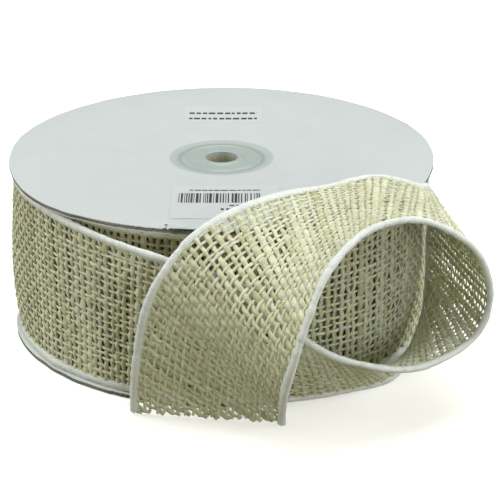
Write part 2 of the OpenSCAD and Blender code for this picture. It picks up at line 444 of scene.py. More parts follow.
@dataclass
class Finishes:
    """Every finish of the spool, made once."""

    yarn: bpy.types.Material = field(default_factory=lambda: YarnFinish().make())
    # Painted shade: a darker copy of the jute for the tight second turn, which sits in shade inside
    # the loose one.
    shaded_inner_yarn: bpy.types.Material = field(default_factory=lambda: YarnFinish(
        "jute_yarn_inner_shaded", (0.12, 0.095, 0.03), (0.40, 0.37, 0.19), (0.60, 0.59, 0.38)).make())
    thread: bpy.types.Material = field(default_factory=lambda: ThreadFinish().make())
    # Painted light: a brighter, warmer copy of the edge thread for the second turn's bindings,
    # making up for the shade they sit in at the gap.
    lit_inner_thread: bpy.types.Material = field(default_factory=lambda: ThreadFinish(
        "edge_thread_inner_lit", (0.58, 0.58, 0.49), (0.90, 0.90, 0.80)).make())
    # Painted light: the flanges' inner paper gets a much brighter white than the face paper, making
    # up for the shade of the roll and the other flange.
    lit_lining: bpy.types.Material = field(default_factory=lambda: PaperFinish(
        "white_inner_paper_lit", (0.82, 0.87, 0.88), (0.79, 0.84, 0.85)).make())
    # The face paper carries painted shade inside the dish round the hub.
    face: bpy.types.Material = field(default_factory=lambda: PaperFinish(
        "white_face_paper", dish=0.0199).make())
    sticker: bpy.types.Material = field(default_factory=lambda: PaperFinish(
        "label_paper", (0.635, 0.685, 0.735), (0.615, 0.66, 0.71), 0.36).make())
    tape: bpy.types.Material = field(default_factory=lambda: PaperFinish(
        "tape_paper", (0.74, 0.66, 0.46), (0.66, 0.58, 0.40), 0.5).make())
    board: bpy.types.Material = field(default_factory=lambda: BoardFinish().make())
    kraft: bpy.types.Material = field(default_factory=lambda: KraftFinish().make())
    hub: bpy.types.Material = field(default_factory=lambda: HubFinish().make())
    ink: bpy.types.Material = field(default_factory=lambda: InkFinish().make())
    roll: bpy.types.Material = field(default_factory=lambda: RollFinish().make())
    wire: bpy.types.Material = field(default_factory=lambda: WireFinish().make())
    floor: bpy.types.Material = field(default_factory=lambda: FloorFinish().make())
    backdrop: bpy.types.Material = field(default_factory=lambda: FloorFinish(
        "studio_backdrop", 0.9).make())


# ---------------------------------------------------------------- mesh making


def unit(vectors: np.ndarray) -> np.ndarray:
    """Scales each row to length one."""
    return vectors / np.maximum(np.linalg.norm(vectors, axis=-1, keepdims=True), 1e-12)


def smooth_noise(rng: np.random.Generator, count: int, every: float) -> np.ndarray:
    """Soft random values along a line.

    Args:
        rng: The seeded generator.
        count: How many samples.
        every: Samples between two independent values.

    Returns:
        Values with mean 0 and spread near 1.
    """
    knots = max(int(math.ceil(count / every)) + 3, 4)
    values = rng.normal(0.0, 1.0, knots)
    at = np.arange(count) / every
    low = at.astype(int)
    t = at - low
    t = t * t * (3 - 2 * t)
    return values[low] * (1 - t) + values[low + 1] * t


def calm_ends(count: int, over: float) -> np.ndarray:
    """Shares along a line that rise from 0 to 1 over some samples at each end."""
    return np.clip(np.minimum(np.arange(count), np.arange(count)[::-1]) / over, 0, 1)


def add_piece(name: str, points: np.ndarray, faces: list[np.ndarray], body: Body,
              material: bpy.types.Material, smooth: bool = True,
              tone: np.ndarray | None = None, strand: np.ndarray | None = None) -> bpy.types.Object:
    """Makes a mesh object that rides on a body.

    Args:
        name: The piece's name.
        points: Its points, in metres.
        faces: Arrays of faces, one array for each number of corners.
        body: The body it moves with.
        material: Its finish.
        smooth: Whether its faces are shaded smooth.
        tone: A value for each point, for the finish.
        strand: A position along and round the yarn for each point.

    Returns:
        The new object.
    """
    mesh = bpy.data.meshes.new(name)
    corners = np.concatenate([f.reshape(-1) for f in faces]).astype(np.int32)
    sizes = np.concatenate([np.full(len(f), f.shape[1]) for f in faces]).astype(np.int32)
    starts = np.concatenate([[0], np.cumsum(sizes)[:-1]]).astype(np.int32)
    mesh.vertices.add(len(points))
    mesh.vertices.foreach_set("co", points.astype(np.float32).reshape(-1))
    mesh.loops.add(len(corners))
    mesh.loops.foreach_set("vertex_index", corners)
    mesh.polygons.add(len(sizes))
    mesh.polygons.foreach_set("loop_start", starts)
    mesh.polygons.foreach_set("loop_total", sizes)
    mesh.update(calc_edges=True)
    mesh.validate()
    if smooth:
        mesh.shade_smooth()
    else:
        mesh.shade_flat()
    if tone is not None:
        mesh.attributes.new("tone", "FLOAT", "POINT").data.foreach_set(
            "value", tone.astype(np.float32))
    if strand is not None:
        mesh.attributes.new("strand", "FLOAT_VECTOR", "POINT").data.foreach_set(
            "vector", strand.astype(np.float32).reshape(-1))
    mesh.materials.append(material)
    piece = bpy.data.objects.new(name, mesh)
    bpy.context.scene.collection.objects.link(piece)
    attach(piece, body.value)
    return piece


@dataclass
class Strands:
    """Collects many tubes and makes one mesh of them.

    Attributes:
        sides: Corners of every tube's section.
    """

    sides: int
    points: list[np.ndarray] = field(default_factory=list)
    quads: list[np.ndarray] = field(default_factory=list)
    caps: list[np.ndarray] = field(default_factory=list)
    tones: list[np.ndarray] = field(default_factory=list)
    strands: list[np.ndarray] = field(default_factory=list)
    count: int = 0

    def tube(self, centres: np.ndarray, normals: np.ndarray, half_w: np.ndarray,
             half_t: np.ndarray, tone: np.ndarray, start: float = 0.0,
             closed: bool = False) -> None:
        """Adds one tube.

        Args:
            centres: Points along its middle, in metres.
            normals: The cloth's normal at each point.
            half_w: Half its width in the cloth, at each point.
            half_t: Half its thickness, at each point.
            tone: A value for the finish, at each point.
            start: Where its strand pattern begins, so that no two are alike.
            closed: Whether its end meets its start.
        """
        sides, n = self.sides, len(centres)
        if closed:
            along = np.roll(centres, -1, 0) - np.roll(centres, 1, 0)
        else:
            along = np.gradient(centres, axis=0)
        along = unit(along)
        across = unit(np.cross(along, normals))
        up = unit(np.cross(across, along))
        angle = 2 * np.pi * np.arange(sides) / sides
        c, s = np.cos(angle), np.sin(angle)
        rings = (centres[:, None] + half_w[:, None, None] * c[None, :, None] * across[:, None]
                 + half_t[:, None, None] * s[None, :, None] * up[:, None])
        step = np.linalg.norm(np.diff(centres, axis=0), axis=1)
        run = np.concatenate([[0.0], np.cumsum(step)]) / MM
        twist = angle[None] + 1.1 * run[:, None]
        strand = np.stack([np.repeat((run * 0.16 + start)[:, None], sides, 1),
                           np.cos(twist) * 0.55 + start, np.sin(twist) * 0.55], axis=-1)
        i = np.arange(n if closed else n - 1)
        j = np.arange(sides)
        a = self.count + (i[:, None] * sides + j[None]).reshape(-1)
        b = self.count + (i[:, None] * sides + (j[None] + 1) % sides).reshape(-1)
        k = (i + 1) % n
        d = self.count + (k[:, None] * sides + j[None]).reshape(-1)
        e = self.count + (k[:, None] * sides + (j[None] + 1) % sides).reshape(-1)
        self.quads.append(np.stack([a, d, e, b], axis=1))
        if not closed:
            first = self.count + np.arange(sides)
            last = self.count + (n - 1) * sides + np.arange(sides)[::-1]
            self.caps.extend([first, last])
        self.points.append(rings.reshape(-1, 3))
        self.tones.append(np.repeat(tone, sides))
        self.strands.append(strand.reshape(-1, 3))
        self.count += n * sides

    def piece(self, name: str, body: Body, material: bpy.types.Material,
              slot: str) -> bpy.types.Object:
        """Makes the mesh object of all tubes so far."""
        faces = [np.concatenate(self.quads)] + ([np.array(self.caps)] if self.caps else [])
        return add_piece(name, np.concatenate(self.points), faces, body, material, True,
                         np.concatenate(self.tones), np.concatenate(self.strands))


# ---------------------------------------------------------------- ribbon


@dataclass
class Strip:
    """One stretch of ribbon, as the lines of its two long edges.

    Attributes:
        near: Points of the near edge, in metres.
        far: Points of the far edge, row by row beside them.
        closed: Whether the stretch is a whole turn.
        puff: How far the cloth's middle bellies out at each row, in metres.
        run: Length along the middle at each row.
    """

    near: np.ndarray
    far: np.ndarray
    closed: bool = False
    puff: np.ndarray | None = None
    run: np.ndarray = field(init=False)

    def __post_init__(self) -> None:
        """Works out the length along the middle and the way across."""
        middle = (self.near + self.far) / 2
        step = np.linalg.norm(np.diff(middle, axis=0), axis=1)
        self.run = np.concatenate([[0.0], np.cumsum(step)])
        self.d_near = np.gradient(self.near, self.run, axis=0)
        self.d_far = np.gradient(self.far, self.run, axis=0)
        if self.puff is None:
            self.puff = np.zeros(len(self.near))

    @property
    def length(self) -> float:
        """Length along the middle, in metres."""
        return float(self.run[-1])

    def _read(self, table: np.ndarray, u: np.ndarray) -> np.ndarray:
        """Reads a table of rows at lengths u."""
        return np.stack([np.interp(u, self.run, table[:, k]) for k in range(3)], axis=-1)

    def at(self, u: np.ndarray, f: np.ndarray) -> tuple[np.ndarray, np.ndarray]:
        """Finds points of the cloth.

        Args:
            u: Lengths along the middle, in metres.
            f: Places across, from -1 at the far binding to 1 at the near one.

        Returns:
            The points and the cloth's normals there.
        """
        near, far = self._read(self.near, u), self._read(self.far, u)
        gap = near - far
        width = np.linalg.norm(gap, axis=-1, keepdims=True)
        across = gap / width
        half = width / 2 - CLOTH_INSET * MM
        points = (near + far) / 2 + f[..., None] * half * across
        share = (f[..., None] + 1) / 2
        along = self._read(self.d_near, u) * share + self._read(self.d_far, u) * (1 - share)
        normals = unit(np.cross(across, along))
        crown = np.interp(u, self.run, self.puff) * np.clip(1 - f * f, 0, 1) * (1 - CROWN_LEAN * f)
        return points - crown[..., None] * normals, normals

    def edge(self, side: Side, u: np.ndarray, inset: float) -> tuple[np.ndarray, np.ndarray]:
        """Finds the middle line of a bound edge and the cloth's normals on it."""
        near, far = self._read(self.near, u), self._read(self.far, u)
        across = unit(near - far)
        if side is Side.NEAR:
            line, along = near, self._read(self.d_near, u)
        else:
            line, along = far, self._read(self.d_far, u)
        return line - side.value * inset * across, unit(np.cross(across, along))


def turn_strip(radius: float, start: float, end: float, rng: np.random.Generator,
               bulge: float = 0.0, closed: bool = False, settled: float = 0.0) -> Strip:
    """Lays out one turn of ribbon round the spool.

    Args:
        radius: Radius at its middle, in millimetres.
        start: Azimuth where it starts, in degrees.
        end: Azimuth where it ends.
        rng: The seeded generator.
        bulge: How far loose cloth bellies out at the side away from the loop, in millimetres.
        closed: Whether it is a whole turn.
        settled: How far its upper edge has settled below the flange, in millimetres.

    Returns:
        The strip, in metres in the spool's frame.
    """
    count = 720
    angle = np.radians(np.linspace(start, end, count))
    ring = np.stack([np.cos(angle), np.sin(angle), np.zeros(count)], axis=1) * radius * MM
    near = ring + np.array([0, 0, (RIBBON_HIGH - settled + FLOOR_Z) * MM])
    far = ring + np.array([0, 0, (RIBBON_LOW + FLOOR_Z) * MM])
    ends = calm_ends(count, 40)
    side = np.exp(-((np.degrees(angle) - 178) / 34) ** 2)
    puff = (bulge * side + 0.25 * bulge * np.abs(smooth_noise(rng, count, 45))) * ends * MM
    return Strip(near, far, closed, np.zeros(count) if closed else puff)


@dataclass
class TailRoute:
    """The free ribbon's way: it leans out, loops, crosses the top and comes down.

    Attributes:
        steps: Samples between two guide points of the curve.
        rows: Evenly spaced rows of the finished strip.
        crest: Which span of the guides is the loop's crest.
    """

    steps: int = 24
    rows: int = 900
    crest: int = 10

    def _on_turn(self, azimuth: float, z: float, out: float = 0.0) -> tuple[float, float, float]:
        """A point on the loose turn."""
        r, a = OUTER_TURN_R + out, math.radians(azimuth)
        return (r * math.cos(a), r * math.sin(a), z)

    def guides(self) -> np.ndarray:
        """Guide points of both edges, near then far, in millimetres from the floor."""
        on, high, low = self._on_turn, RIBBON_HIGH - SETTLED, RIBBON_LOW
        return np.array([
            (on(LOOSE_START - 15, high), on(LOOSE_START - 15, low)),
            (on(LOOSE_START, high), on(LOOSE_START, low)),
            (on(-136, 63, 0.5), on(-136, low)),
            (on(-118, 62, 4), on(-121, low, 0.2)),
            (on(-98, 60, 13), on(-103, low, 0.6)),
            ((10, -102, 56), (14, -80, 2)),
            ((30, -117, 43), (40, -73, 2)),
            ((49, -110, 31), (63, -58, 2)),
            ((68, -100, 25), (74, -38, 14)),
            ((88, -84, 28), (77, -25, 30)),
            ((94, -82, 42), (77, -22, 45)),
            ((89, -88, 60), (79, -27, 57)),
            ((77, -95, 73), (75, -33, 65)),
            ((64, -100, 79), (71, -41, 69)),
            ((51, -106, 78), (56, -42, 73)),
            ((41, -116, 74), (37, -52, 73)),
            ((34, -125, 66), (22, -64, 75)),
            ((29, -130, 54), (8, -78, 76)),
            ((25, -129, 38), (-8, -89, 71)),
            ((23, -114, 20), (-19, -96, 60)),
            ((23, -98, 6), (-25, -97, 48)),
            ((23, -92, -3), (-28, -94, 34)),
            ((23, -88, -14), (-30, -91, 20)),
            ((23, -85, -25), (-31, -86, 6)),
            ((22, -82, -38), (-31, -82, -8)),
        ], dtype=float)

    def strip(self, rng: np.random.Generator) -> Strip:
        """Runs a smooth curve through the guide points and spaces it evenly.

        Args:
            rng: The seeded generator.

        Returns:
            The strip, in metres in the spool's frame.
        """
        g = self.guides()
        g = np.concatenate([g, [2 * g[-1] - g[-2]]])
        t = (np.arange(self.steps) / self.steps)[:, None, None]
        spans = []
        for i in range(1, len(g) - 2):
            a, b, c, d = g[i - 1], g[i], g[i + 1], g[i + 2]
            spans.append(0.5 * (2 * b + (c - a) * t + (2 * a - 5 * b + 4 * c - d) * t ** 2
                                + (3 * b - a - 3 * c + d) * t ** 3))
        line = np.concatenate(spans)
        middle = line.mean(axis=1)
        run = np.concatenate([[0.0], np.cumsum(np.linalg.norm(np.diff(middle, axis=0), axis=1))])
        even = np.linspace(0, run[-1], self.rows)
        flat = line.reshape(len(line), 6)
        flat = np.stack([np.interp(even, run, flat[:, k]) for k in range(6)], axis=1)
        flat[:, [2, 5]] += FLOOR_Z
        flat *= MM
        start = np.clip(np.arange(self.rows) / 60, 0, 1)
        at_crest = np.exp(-((even - run[self.crest * self.steps]) / 16) ** 2)
        puff = (0.5 * smooth_noise(rng, self.rows, 60) * start + 0.4 * at_crest) * MM
        return Strip(flat[:, :3], flat[:, 3:], False, puff)


@dataclass
class PlainWeave:
    """Coarse plain weave: thin lengthwise yarns over and under thick crosswise ones.

    The lengthwise yarns are the warps and the crosswise ones the wefts. Sizes are in millimetres.

    Attributes:
        strip: The stretch of ribbon that it fills.
        seed: Seed of its random draws.
        pitch: Distance between two wefts.
        warps: How many warps lie between the bindings.
        warp_w: Half the width of a warp, and warp_t half its thickness; the same for wefts.
        warp_rise: How far a warp swings out of the cloth at a crossing; the same for wefts.
        samples: Rings of a yarn from one crossing to the next.
        sides: Corners of a yarn's section.
        parity: 0 or 1, which yarn of the first crossing lies on top.
        floor: Height under which a yarn is cut away, in metres.
        wefts: How many wefts fill the strip.
    """

    strip: Strip
    seed: int
    pitch: float = PITCH
    warps: int = 22
    warp_w: float = 0.50
    warp_t: float = 0.31
    weft_w: float = 0.92
    weft_t: float = 0.40
    warp_rise: float = 0.26
    weft_rise: float = 0.42
    samples: int = 3
    sides: int = 5
    parity: int = 0
    floor: float | None = None
    wefts: int = field(init=False)

    def __post_init__(self) -> None:
        """Counts the crosswise yarns; a closed turn takes an even number."""
        self.wefts = round(self.strip.length / (self.pitch * MM))
        if self.strip.closed:
            self.wefts += self.wefts % 2

    def _wander(self, rng: np.random.Generator) -> tuple[np.ndarray, np.ndarray]:
        """Where the yarns cross: lengths and places across, weft by weft and warp by warp."""
        j, i = np.arange(self.wefts), np.arange(self.warps)
        step = self.strip.length / self.wefts
        calm = np.ones(self.wefts) if self.strip.closed else calm_ends(self.wefts, 4)
        u = np.repeat(((j + 0.5) * step)[:, None], self.warps, 1)
        lean = rng.normal(0, 0.30, self.wefts)
        lean = np.stack([lean[k] + 0.32 * smooth_noise(rng, self.warps, 5) for k in j])
        u = u + lean * calm[:, None] * 0.62 * MM
        u = np.maximum.accumulate(u, axis=0)
        gap = 2 / self.warps
        f = np.repeat((-1 + gap * (i + 0.5))[None], self.wefts, 0)
        drift = np.stack([smooth_noise(rng, self.wefts, 9)
                          + 0.5 * smooth_noise(rng, self.wefts, 2.5) for _ in i], axis=1)
        return u, f + drift * calm[:, None] * gap * 0.13

    def _clear(self, points: np.ndarray) -> slice | None:
        """The longest stretch of a yarn that stays above the floor."""
        if self.floor is None:
            return slice(0, len(points))
        fine = points[:, 2] > self.floor
        best, start = None, None
        for k, ok in enumerate(np.append(fine, False)):
            if ok and start is None:
                start = k
            elif not ok and start is not None:
                if best is None or k - start > best.stop - best.start:
                    best = slice(start, k)
                start = None
        return best if best is not None and best.stop - best.start > 3 else None

    def weave(self, name: str, body: Body, material: bpy.types.Material) -> bpy.types.Object:
        """Makes the cloth as one mesh of yarns.

        Args:
            name: The piece's name.
            body: The body it moves with.
            material: Its finish.

        Returns:
            The new object.
        """
        rng = np.random.default_rng(self.seed)
        u, f = self._wander(rng)
        yarns = Strands(self.sides)
        for i in range(self.warps):
            self._lay_warp(yarns, rng, i, u[:, i], f[:, i])
        for j in range(self.wefts):
            self._lay_weft(yarns, rng, j, u[j], f[j])
        return yarns.piece(name, body, material, "jute_cloth")

    def _lay_warp(self, yarns: Strands, rng: np.random.Generator, i: int,
                  u: np.ndarray, f: np.ndarray) -> None:
        """Lays one lengthwise yarn through its crossings."""
        closed = self.strip.closed
        count = self.wefts * self.samples + (0 if closed else 1)
        t = np.arange(count) / self.samples - 0.5
        j = np.arange(-1, self.wefts + 1)
        if closed:
            us = np.concatenate([[u[-1] - self.strip.length], u, [u[0] + self.strip.length]])
            fs = np.concatenate([[f[-1]], f, [f[0]]])
        else:
            us = np.concatenate([[-u[0]], u, [2 * self.strip.length - u[-1]]])
            fs = np.concatenate([[f[0]], f, [f[-1]]])
        at_u, at_f = np.interp(t, j, us), np.interp(t, j, fs)
        if closed:
            at_u = np.mod(at_u, self.strip.length)
        points, normals = self.strip.at(np.clip(at_u, 0, self.strip.length), at_f)
        sign = 1 if (i + self.parity) % 2 == 0 else -1
        swing = np.cos(np.pi * t) * sign
        points = points + normals * (swing * self.warp_rise * MM)[:, None]
        keep = self._clear(points)
        if keep is None:
            return
        calm = 1.0 if closed else calm_ends(count, 12)
        uneven = 0.13 * smooth_noise(rng, count, 14) + 0.07 * smooth_noise(rng, count, 3)
        slub = np.clip(smooth_noise(rng, count, 20) - 1.5, 0, 1) * calm
        thick = np.clip(1 + uneven * calm + 0.7 * slub, 0.7, 1.9)
        # Tone varies at random along and between warps; the swing term is painted light and shade,
        # lighter where the warp rides over a weft and darker where it dips under.
        tone = 0.80 + 0.08 * rng.normal() + 0.09 * smooth_noise(rng, count, 18)
        tone = np.clip(tone + 0.08 * swing, 0, 1)
        yarns.tube(points[keep], normals[keep], (self.warp_w * MM * thick)[keep],
                   (self.warp_t * MM * np.sqrt(thick))[keep], tone[keep], rng.uniform(0, 90),
                   closed)

    def _lay_weft(self, yarns: Strands, rng: np.random.Generator, j: int,
                  u: np.ndarray, f: np.ndarray) -> None:
        """Lays one crosswise yarn through its crossings, from binding to binding."""
        count = (self.warps + 1) * self.samples + 1
        t = np.arange(count) / self.samples - 1
        i = np.arange(-1, self.warps + 1)
        at_u = np.interp(t, i, np.concatenate([[u[0]], u, [u[-1]]]))
        at_f = np.interp(t, i, np.concatenate([[-1.015], f, [1.015]]))
        points, normals = self.strip.at(at_u, at_f)
        sign = -1 if (j + self.parity) % 2 == 0 else 1
        swing = np.cos(np.pi * t) * sign
        points = points + normals * (swing * self.weft_rise * MM)[:, None]
        keep = self._clear(points)
        if keep is None:
            return
        fat = float(np.clip(rng.lognormal(0, 0.18), 0.72, 1.5))
        thick = np.clip(fat + 0.16 * smooth_noise(rng, count, 7), 0.62, 1.6)
        thick = thick * (1 + 0.14 * np.abs(swing))
        # Tone varies at random along and between wefts; the swing term is painted light and shade,
        # lighter at the crossings and darker where the weft passes through the cloth between them.
        tone = 0.50 + 0.06 * rng.normal() + 0.07 * smooth_noise(rng, count, 12)
        tone = np.clip(tone + 0.14 * np.abs(swing) - 0.07, 0, 1)
        yarns.tube(points[keep], normals[keep], (self.weft_w * MM * thick)[keep],
                   (self.weft_t * MM * np.sqrt(thick))[keep], tone[keep], rng.uniform(0, 90))


@dataclass
class BoundEdge:
    """A long edge wrapped in fine white thread. Sizes are in millimetres.

    Attributes:
        strip: The stretch of ribbon.
        side: Which of its edges.
        seed: Seed of its random draws.
        half_w: Half its width in the cloth.
        half_t: Half its thickness.
        wrap: Distance between two wraps of the thread.
        loose: Share of the usual sway out of the cloth.
        floor: Height at which it ends, in metres.
        sides: Corners of its section.
    """

    strip: Strip
    side: Side
    seed: int
    half_w: float = 1.35
    half_t: float = 1.12
    wrap: float = 0.80
    loose: float = 1.0
    floor: float | None = None
    sides: int = 10

    def bind(self, name: str, body: Body, material: bpy.types.Material,
             *nodes: str) -> bpy.types.Object:
        """Makes the wrapped edge and lets it stand for its CAD nodes.

        Args:
            name: The piece's name.
            body: The body it moves with.
            material: Its finish.
            nodes: The CAD nodes that it stands for.

        Returns:
            The new object.
        """
        rng = np.random.default_rng(self.seed)
        rings = 3
        wraps = int(self.strip.length / (self.wrap * MM))
        count = wraps * rings + (0 if self.strip.closed else 1)
        u = np.linspace(0, self.strip.length, count, endpoint=not self.strip.closed)
        points, normals = self.strip.edge(self.side, u, self.half_w * MM)
        calm = np.ones(count) if self.strip.closed else calm_ends(count, 30)
        ridge = np.cos(2 * np.pi * np.arange(count) / rings)
        swell = (0.06 * smooth_noise(rng, count, 36) + 0.055 * smooth_noise(rng, count, 8)) * calm
        nick = np.clip(smooth_noise(rng, count, 5) - 1.9, 0, 1) * calm
        size = 1 + 0.09 * ridge + swell - 0.16 * nick
        sway = 0.2 * smooth_noise(rng, count, 50) * calm * MM
        points = points + normals * sway[:, None] * self.loose
        # Painted shade: on top of random variation, the tone is lighter on each wrap's ridge and
        # darker in the grooves between wraps and in the nicks.
        tone = np.clip(0.66 + 0.24 * ridge + 0.08 * smooth_noise(rng, count, 4) - 0.4 * nick, 0, 1)
        last = count
        if self.floor is not None:
            under = np.nonzero(points[:, 2] < self.floor + self.half_t * MM * 0.6)[0]
            under = under[under > count // 2]
            last = int(under[0]) if len(under) else count
        thread = Strands(self.sides)
        thread.tube(points[:last], normals[:last], (self.half_w * MM * size)[:last],
                    (self.half_t * MM * size)[:last], tone[:last], rng.uniform(0, 50),
                    self.strip.closed)
        piece = thread.piece(name, body, material, "edge_thread")
        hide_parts(*nodes)
        return piece


@dataclass
class StrayFibres:
    """Loose hairs that stand off the cloth. Sizes are in millimetres.

    Attributes:
        strip: The stretch of ribbon.
        seed: Seed of its random draws.
        count: How many hairs are tried; those that would pass the floor are left out.
        start: Share of the strip's length where they begin, and end where they stop.
        lift: How high the tallest stand off the cloth.
        longest: The longest hair.
        floor: Height that they stay above, in metres.
        rings: Rings of one hair.
    """

    strip: Strip
    seed: int
    count: int
    start: float = 0.0
    end: float = 1.0
    lift: float = 2.6
    longest: float = 9.0
    floor: float | None = None
    rings: int = 7

    def scatter(self, name: str, body: Body, material: bpy.types.Material) -> bpy.types.Object:
        """Makes the hairs as one mesh.

        Args:
            name: The piece's name.
            body: The body it moves with.
            material: Its finish.

        Returns:
            The new object.
        """
        rng = np.random.default_rng(self.seed)
        hairs = Strands(3)
        n = self.rings
        t = np.linspace(0, 1, n)
        for _ in range(self.count):
            long = rng.uniform(1.5, self.longest) * MM
            u0 = rng.uniform(self.start, self.end) * self.strip.length
            f0 = rng.uniform(-0.98, 0.98)
            turn = rng.uniform(0, 2 * math.pi)
            bend = rng.normal(0, 0.9)
            heading = turn + bend * t
            du = np.cumsum(np.cos(heading)) / n * long
            df = np.cumsum(np.sin(heading)) / n * long / (30 * MM)
            u = np.clip(u0 + du, 0, self.strip.length)
            points, normals = self.strip.at(u, f0 + df)
            way = 1 if rng.random() < 0.5 else -1
            high = rng.uniform(0.3, 1.0) ** 2 * self.lift
            arch = np.sin(np.pi * np.minimum(t * rng.uniform(0.5, 1.1), 1))
            points = points + normals * ((0.75 + high * arch) * way * MM)[:, None]
            if self.floor is not None and points[:, 2].min() < self.floor:
                continue
            thick = rng.uniform(0.045, 0.085) * MM * (1 - 0.5 * t)
            tone = np.full(n, rng.uniform(0.5, 1.0))
            hairs.tube(points, normals, thick, thick, tone, rng.uniform(0, 90))
        return hairs.piece(name, body, material, "jute_cloth")


@dataclass
class Ribbon:
    """The ribbon on the spool and its loose end."""

    finishes: Finishes
    seed: int = 11

    def build(self) -> list[bpy.types.Object]:
        """Weaves every visible stretch and binds its edges.

        Returns:
            The pieces.
        """
        rng = np.random.default_rng(self.seed)
        floor = (FLOOR_Z + YARN_CLEARANCE) * MM
        inner = turn_strip(SECOND_TURN_R, 0.0, 360.0, rng, closed=True, settled=SECOND_SETTLED)
        outer = turn_strip(OUTER_TURN_R, TAKE_OFF, 360.0 + LOOSE_START, rng, bulge=1.8,
                           settled=SETTLED)
        tail = TailRoute().strip(rng)
        pieces = self._second_turn(inner)
        pieces += self._outer_turn(outer, floor)
        pieces += self._tail(tail, floor, round(outer.length / (PITCH * MM)) % 2)
        return pieces

    def _second_turn(self, strip: Strip) -> list[bpy.types.Object]:
        """The tight turn seen through the gap and through the loose cloth."""
        f = self.finishes
        cloth = PlainWeave(strip, 21, samples=2).weave("second_turn_cloth", Body.SPOOL,
                                                       f.shaded_inner_yarn)
        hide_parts("second_turn")
        strip.length
        edges = [BoundEdge(strip, side, seed, half_w=1.25, half_t=0.86, loose=0.0, sides=8).bind(
            f"second_turn_{place}_binding", Body.SPOOL, f.lit_inner_thread, f"second_turn_{place}_edge")
            for side, seed, place in ((Side.NEAR, 22, "top"), (Side.FAR, 23, "bottom"))]
        return [cloth, *edges]

    def _outer_turn(self, strip: Strip, floor: float) -> list[bpy.types.Object]:
        """The loose turn round the roll."""
        f = self.finishes
        cloth = PlainWeave(strip, 31).weave("outer_turn_cloth", Body.RIBBON, f.yarn)
        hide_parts("outer_turn")
        top = BoundEdge(strip, Side.NEAR, 32, loose=0.4).bind(
            "outer_turn_top_binding", Body.RIBBON, f.thread, "outer_turn_top_edge")
        low = BoundEdge(strip, Side.FAR, 33, half_w=1.4, half_t=1.05, loose=0.2).bind(
            "outer_turn_bottom_binding", Body.RIBBON, f.thread, "outer_turn_bottom_edge")
        hairs = StrayFibres(strip, 34, 1500, lift=0.9, longest=6.0, floor=floor).scatter(
            "outer_turn_fibres", Body.RIBBON, f.yarn)
        strip.length
        return [cloth, top, low, hairs]

    def _tail(self, strip: Strip, floor: float, parity: int) -> list[bpy.types.Object]:
        """The free ribbon, from where it leans out to its slanting end."""
        f = self.finishes
        cloth = PlainWeave(strip, 41, warp_w=0.54, weft_w=0.97, parity=parity, floor=floor).weave(
            "tail_cloth", Body.RIBBON, f.yarn)
        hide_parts("tail")
        near, far = [BoundEdge(strip, side, seed, half_w=1.45, floor=floor).bind(
            f"tail_{place}_binding", Body.RIBBON, f.thread, f"tail_{place}_edge")
            for side, seed, place in ((Side.NEAR, 42, "near"), (Side.FAR, 43, "far"))]
        hairs = StrayFibres(strip, 44, 2600, 0.02, 0.93, lift=1.5, longest=7.0,
                            floor=floor).scatter("tail_fibres", Body.RIBBON, f.yarn)
        return [cloth, near, far, hairs]


# ---------------------------------------------------------------- spool


def sink(r: np.ndarray) -> np.ndarray:
    """How far the flange leans in, and is pressed in round the hub, at each radius, in mm."""
    lean = 2.0 * np.clip((70.0 - r) / 49.0, 0, 1)
    dish = 0.5 * np.clip((20.0 - r) / 3.5, 0, 1)
    return lean + dish


def warp(azimuth: np.ndarray, r: np.ndarray) -> np.ndarray:
    """How far the top board sags on both sides of its front, in millimetres."""
    left = np.exp(-((azimuth + 148) / 27) ** 2) + np.exp(-((azimuth - 212) / 27) ** 2)
    right = np.exp(-((azimuth + 32) / 24) ** 2)
    return 1.9 * np.maximum(left, 0.9 * right) * np.clip((r - 36) / 44, 0, 1) ** 1.4


def polar_faces(rows: int, columns: int, closed: bool) -> np.ndarray:
    """Quads of a grid whose columns go round the axis, and whose rows may close too."""
    i, j = np.arange(rows if closed else rows - 1), np.arange(columns)
    a = (i[:, None] * columns + j[None]).reshape(-1)
    b = (i[:, None] * columns + (j[None] + 1) % columns).reshape(-1)
    k = (i + 1) % rows
    c = (k[:, None] * columns + (j[None] + 1) % columns).reshape(-1)
    d = (k[:, None] * columns + j[None]).reshape(-1)
    return np.stack([a, b, c, d], axis=1)


def fine_angles() -> np.ndarray:
    """Azimuths round a flange, in degrees, close together at the creased front."""
    coarse = np.arange(-80.0, 240.0, 2.0)
    front = np.arange(-120.0, -80.0, 0.3)
    return np.concatenate([front, coarse])


@dataclass
class Crease:
    """A crack near the front rim, where a corner of the paper has lifted.

    Attributes:
        start: Azimuth of the crack, where the fold line is deepest inside the rim, in degrees.
        end: Azimuth where the fold line meets the rim.
        depth: How far inside the rim the fold line starts, in millimetres.
        width: Half the width of the lines, in millimetres.
    """

    start: float = -104.0
    end: float = -90.0
    depth: float = 4.8
    width: float = 0.4

    def inset(self, azimuth: np.ndarray) -> np.ndarray:
        """How far inside the rim the fold line runs at each azimuth, in millimetres."""
        t = np.clip((azimuth - self.start) / (self.end - self.start), 0, 1)
        return self.depth * (1 - t) ** 0.8

    def height(self, azimuth: np.ndarray, r: np.ndarray, rim: float) -> np.ndarray:
        """Lift of the paper at each point, in millimetres."""
        fold = self.inset(azimuth)
        inside = rim - r
        on = (azimuth > self.start) & (azimuth < self.end)
        lifted = np.clip((fold - inside) / np.maximum(fold, self.width), 0, 1)
        fade = np.clip((self.end - azimuth) / 5, 0, 1) * np.clip((azimuth - self.start) / 0.6, 0, 1)
        groove = np.exp(-((inside - fold) / self.width) ** 2) * on
        left = np.exp(-((inside - 4.3 + 0.55 * (self.start - azimuth)) / self.width) ** 2)
        left = left * ((azimuth <= self.start) & (azimuth > self.start - 5))
        slant = azimuth - self.start - 0.35 * (fold - inside)
        crack = np.exp(-(slant / 0.32) ** 2) * np.clip((fold + 0.5 - inside), 0, 1)
        return 0.5 * lifted * on * fade - 0.34 * groove * fade - 0.14 * left - 0.8 * crack


